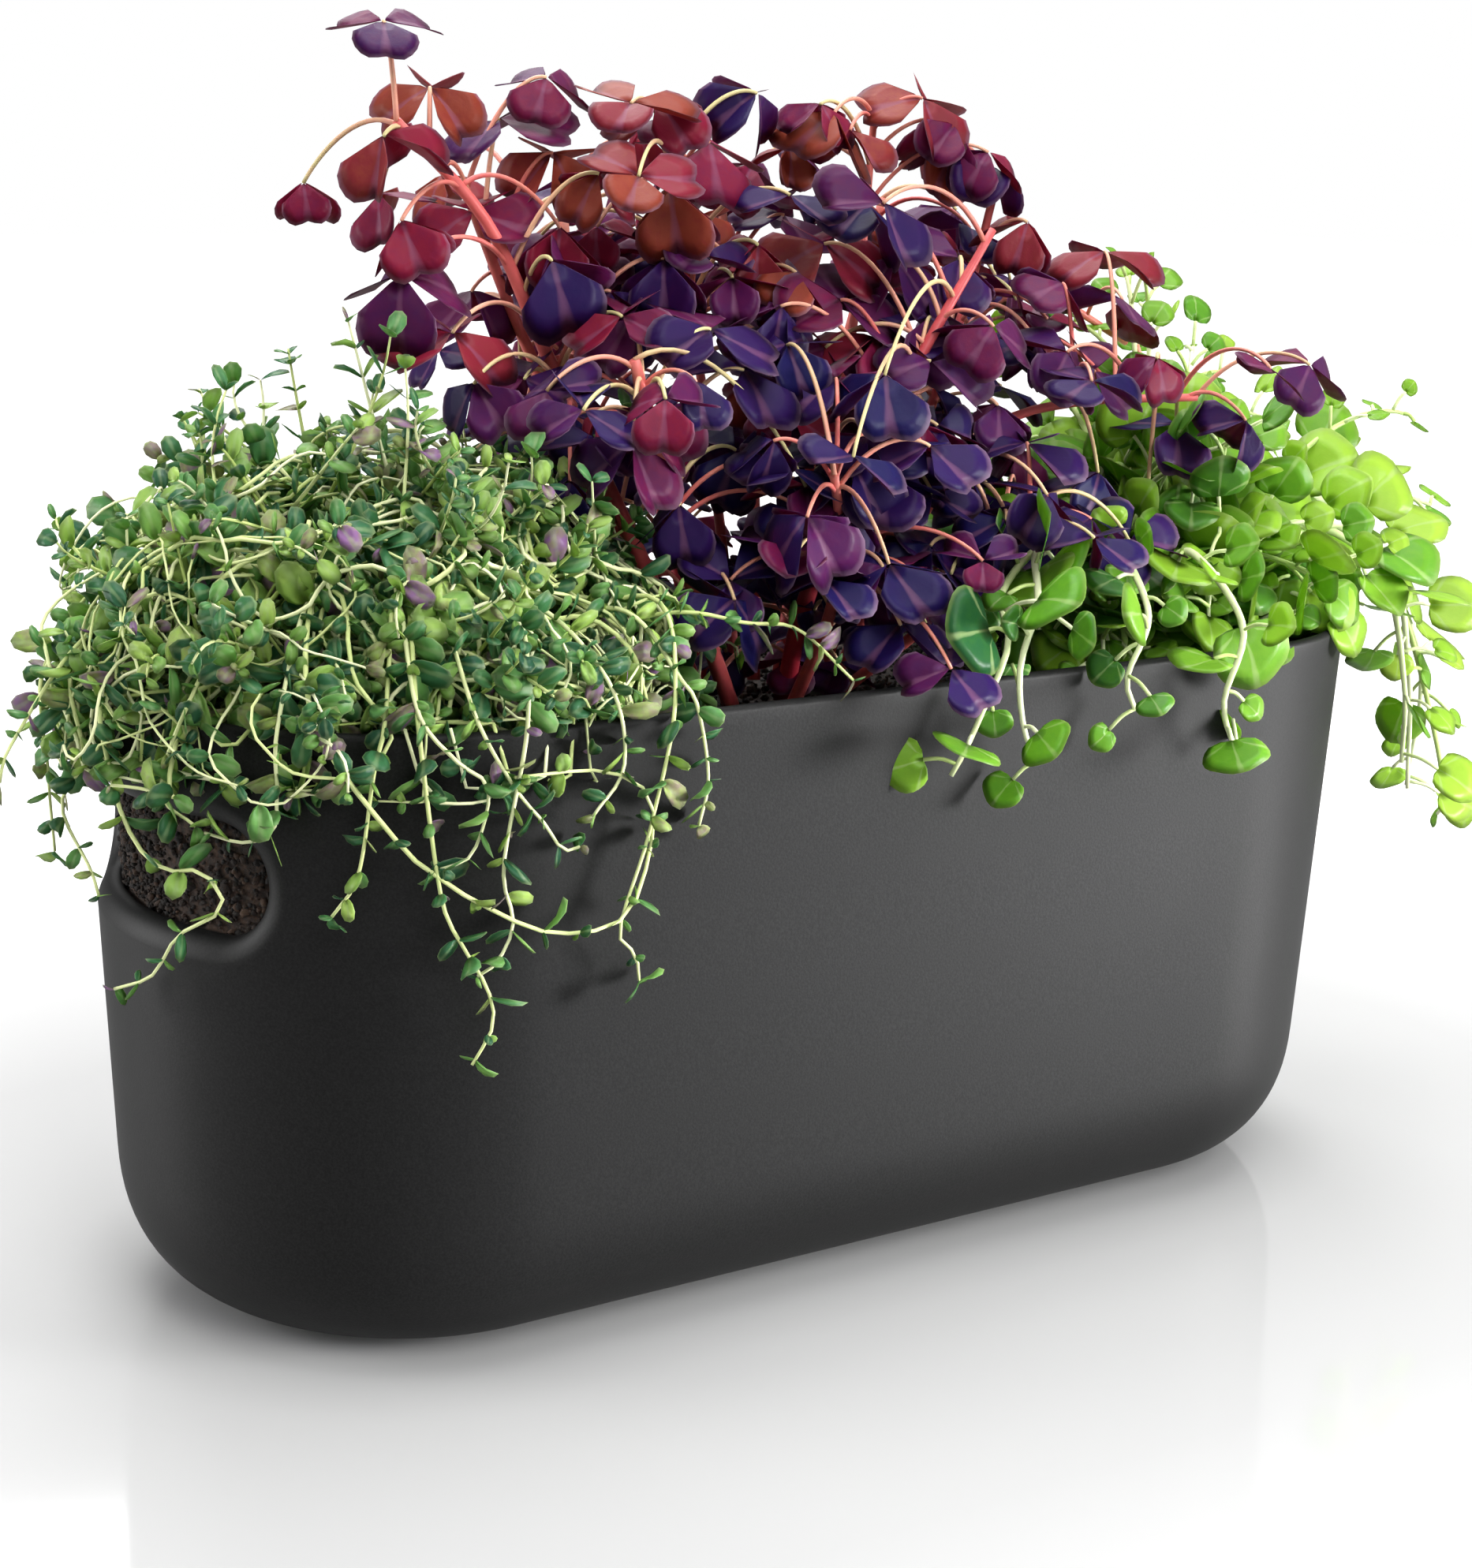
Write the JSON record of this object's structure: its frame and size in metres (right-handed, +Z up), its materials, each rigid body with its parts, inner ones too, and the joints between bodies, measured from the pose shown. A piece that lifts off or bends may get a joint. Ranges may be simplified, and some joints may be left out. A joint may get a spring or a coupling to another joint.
{
  "type": "self-watering planter",
  "caption": "Oblong self-watering herb planter with rolled grips, a reservoir under a lift-out tray, wicks, soil and trailing herbs.",
  "frame": {"origin": "on the ground, at the middle of the base pad's underside, on the pot's upright centre line", "axes": "+X along the pot's length, +Y towards its back, +Z up; the long side at -Y is the front"},
  "size_m": [0.4111, 0.1722, 0.2864],
  "materials": {
    "pot_plastic": "fine grain, satin",
    "pad_rubber": "matte",
    "tray_plastic": "moulded, matte",
    "wick_felt": "pressed fibre",
    "soil": "moist potting compost",
    "thyme": "small matte leaves on pale stems",
    "oxalis": "velvety dark leaves on red stems",
    "cress": "smooth bright leaves"
  },
  "bodies": {
    "pot": {"outer_pot": "pot_plastic", "base_pad": "pad_rubber"},
    "tray": {"planting_tray": "tray_plastic", "wick_left": "wick_felt", "wick_middle": "wick_felt", "wick_right": "wick_felt", "potting_soil": "soil", "thyme_plant": "thyme", "oxalis_plant": "oxalis", "cress_plant": "cress"}
  },
  "joints": [
    {"name": "tray_lift", "type": "slide", "parent": "pot", "child": "tray", "axis": [0, 0, 1], "range_m": [0, 0.15]}
  ]
}
